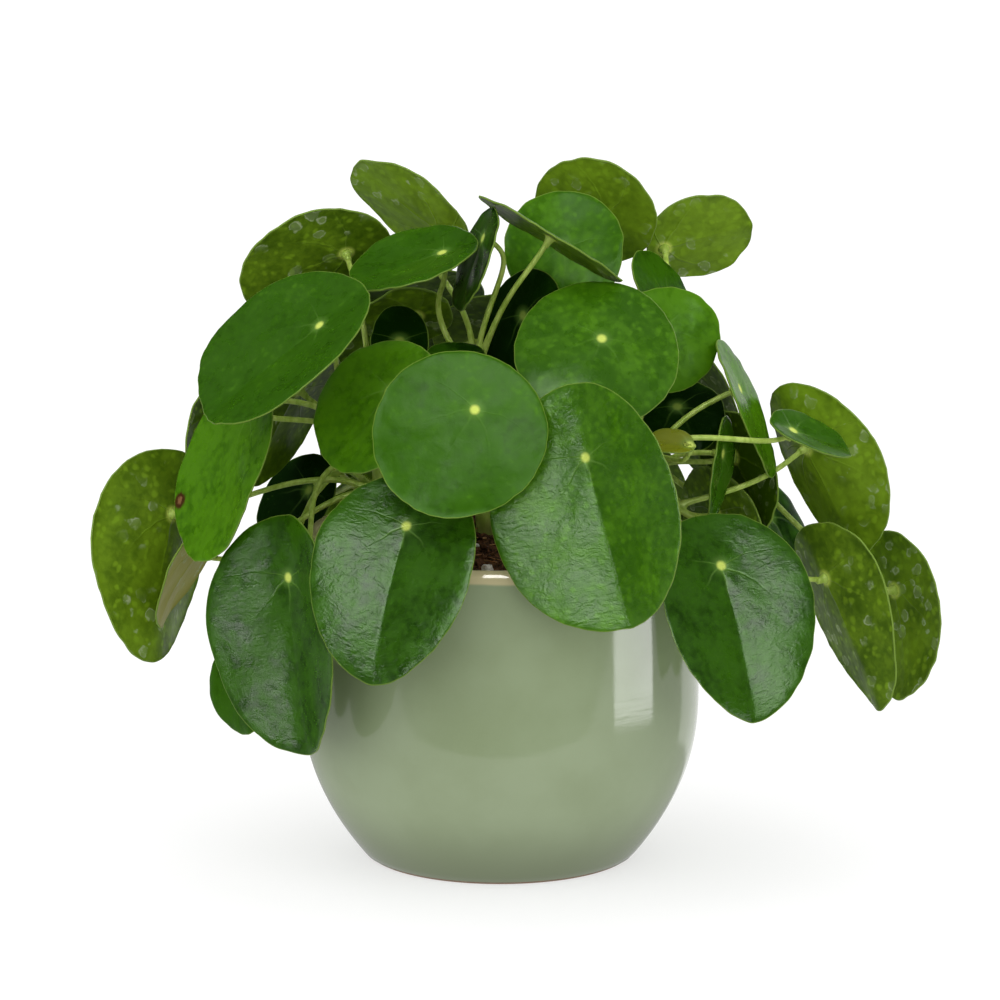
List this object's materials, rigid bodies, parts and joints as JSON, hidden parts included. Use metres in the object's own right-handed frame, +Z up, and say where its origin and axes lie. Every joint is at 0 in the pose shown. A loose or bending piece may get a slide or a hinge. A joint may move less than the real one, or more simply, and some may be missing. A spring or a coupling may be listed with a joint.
{
  "type": "potted pilea plant",
  "caption": "Leafy potted houseplant with round coin-shaped leaves on thin stalks, growing in soil in a round glazed ceramic pot that stands on its flat base.",
  "frame": {"origin": "centre of the pot's flat base, on the surface that it stands on", "axes": "+Z up along the pot's axis, -Y towards the front of the plant, +X to the right seen from the front"},
  "size_m": [0.3855, 0.2637, 0.3094],
  "materials": {
    "pot": "sage-green glazed stoneware, glossy, with a thin cream lip and an unglazed foot",
    "soil": "dark moist potting soil with white perlite grains",
    "stem": "pale green living stalks on brownish green stems",
    "leaf": "mid to dark green living leaf, glossy and finely wrinkled, with a pale rim and hub",
    "young_leaf": "yellow-green young living leaf, glossy"
  },
  "bodies": {
    "root": {"leaf_back_high_1": "leaf", "leaf_back_high_2": "leaf", "leaf_back_high_3": "leaf", "leaf_back_low_1": "leaf", "leaf_back_low_2": "leaf", "leaf_back_low_3": "leaf", "leaf_back_low_4": "leaf", "leaf_back_middle_1": "leaf", "leaf_back_middle_4": "leaf", "leaf_back_middle_5": "leaf", "leaf_centre_dark": "leaf", "leaf_far_left": "leaf", "leaf_far_right_back": "leaf", "leaf_far_right_front": "leaf", "leaf_far_right_high": "leaf", "leaf_far_right_low": "leaf", "leaf_front_disc": "leaf", "leaf_front_large": "leaf", "leaf_front_left": "leaf", "leaf_hanging_left": "leaf", "leaf_inner_dark": "leaf", "leaf_inner_left": "leaf", "leaf_inner_light": "leaf", "leaf_inner_young": "leaf", "leaf_left_mottled": "leaf", "leaf_left_narrow": "leaf", "leaf_left_shaded": "leaf", "leaf_left_sliver": "leaf", "leaf_low_left": "leaf", "leaf_right_bright": "leaf", "leaf_right_deep": "leaf", "leaf_right_disc": "leaf", "leaf_right_inner": "leaf", "leaf_right_narrow": "leaf", "leaf_right_shaded": "leaf", "leaf_right_small": "leaf", "leaf_right_under": "leaf", "leaf_top_back": "leaf", "leaf_top_centre_left": "leaf", "leaf_top_disc": "leaf", "leaf_top_edge": "leaf", "leaf_top_flat": "leaf", "leaf_top_left": "leaf", "leaf_top_narrow": "leaf", "leaf_top_right": "leaf", "leaf_upper_disc": "leaf", "leaf_upper_left": "leaf", "leaf_young_gloss": "young_leaf", "pot": "pot", "soil": "soil", "stem_left": "stem", "stem_main": "stem", "stem_right": "stem"}
  },
  "joints": []
}
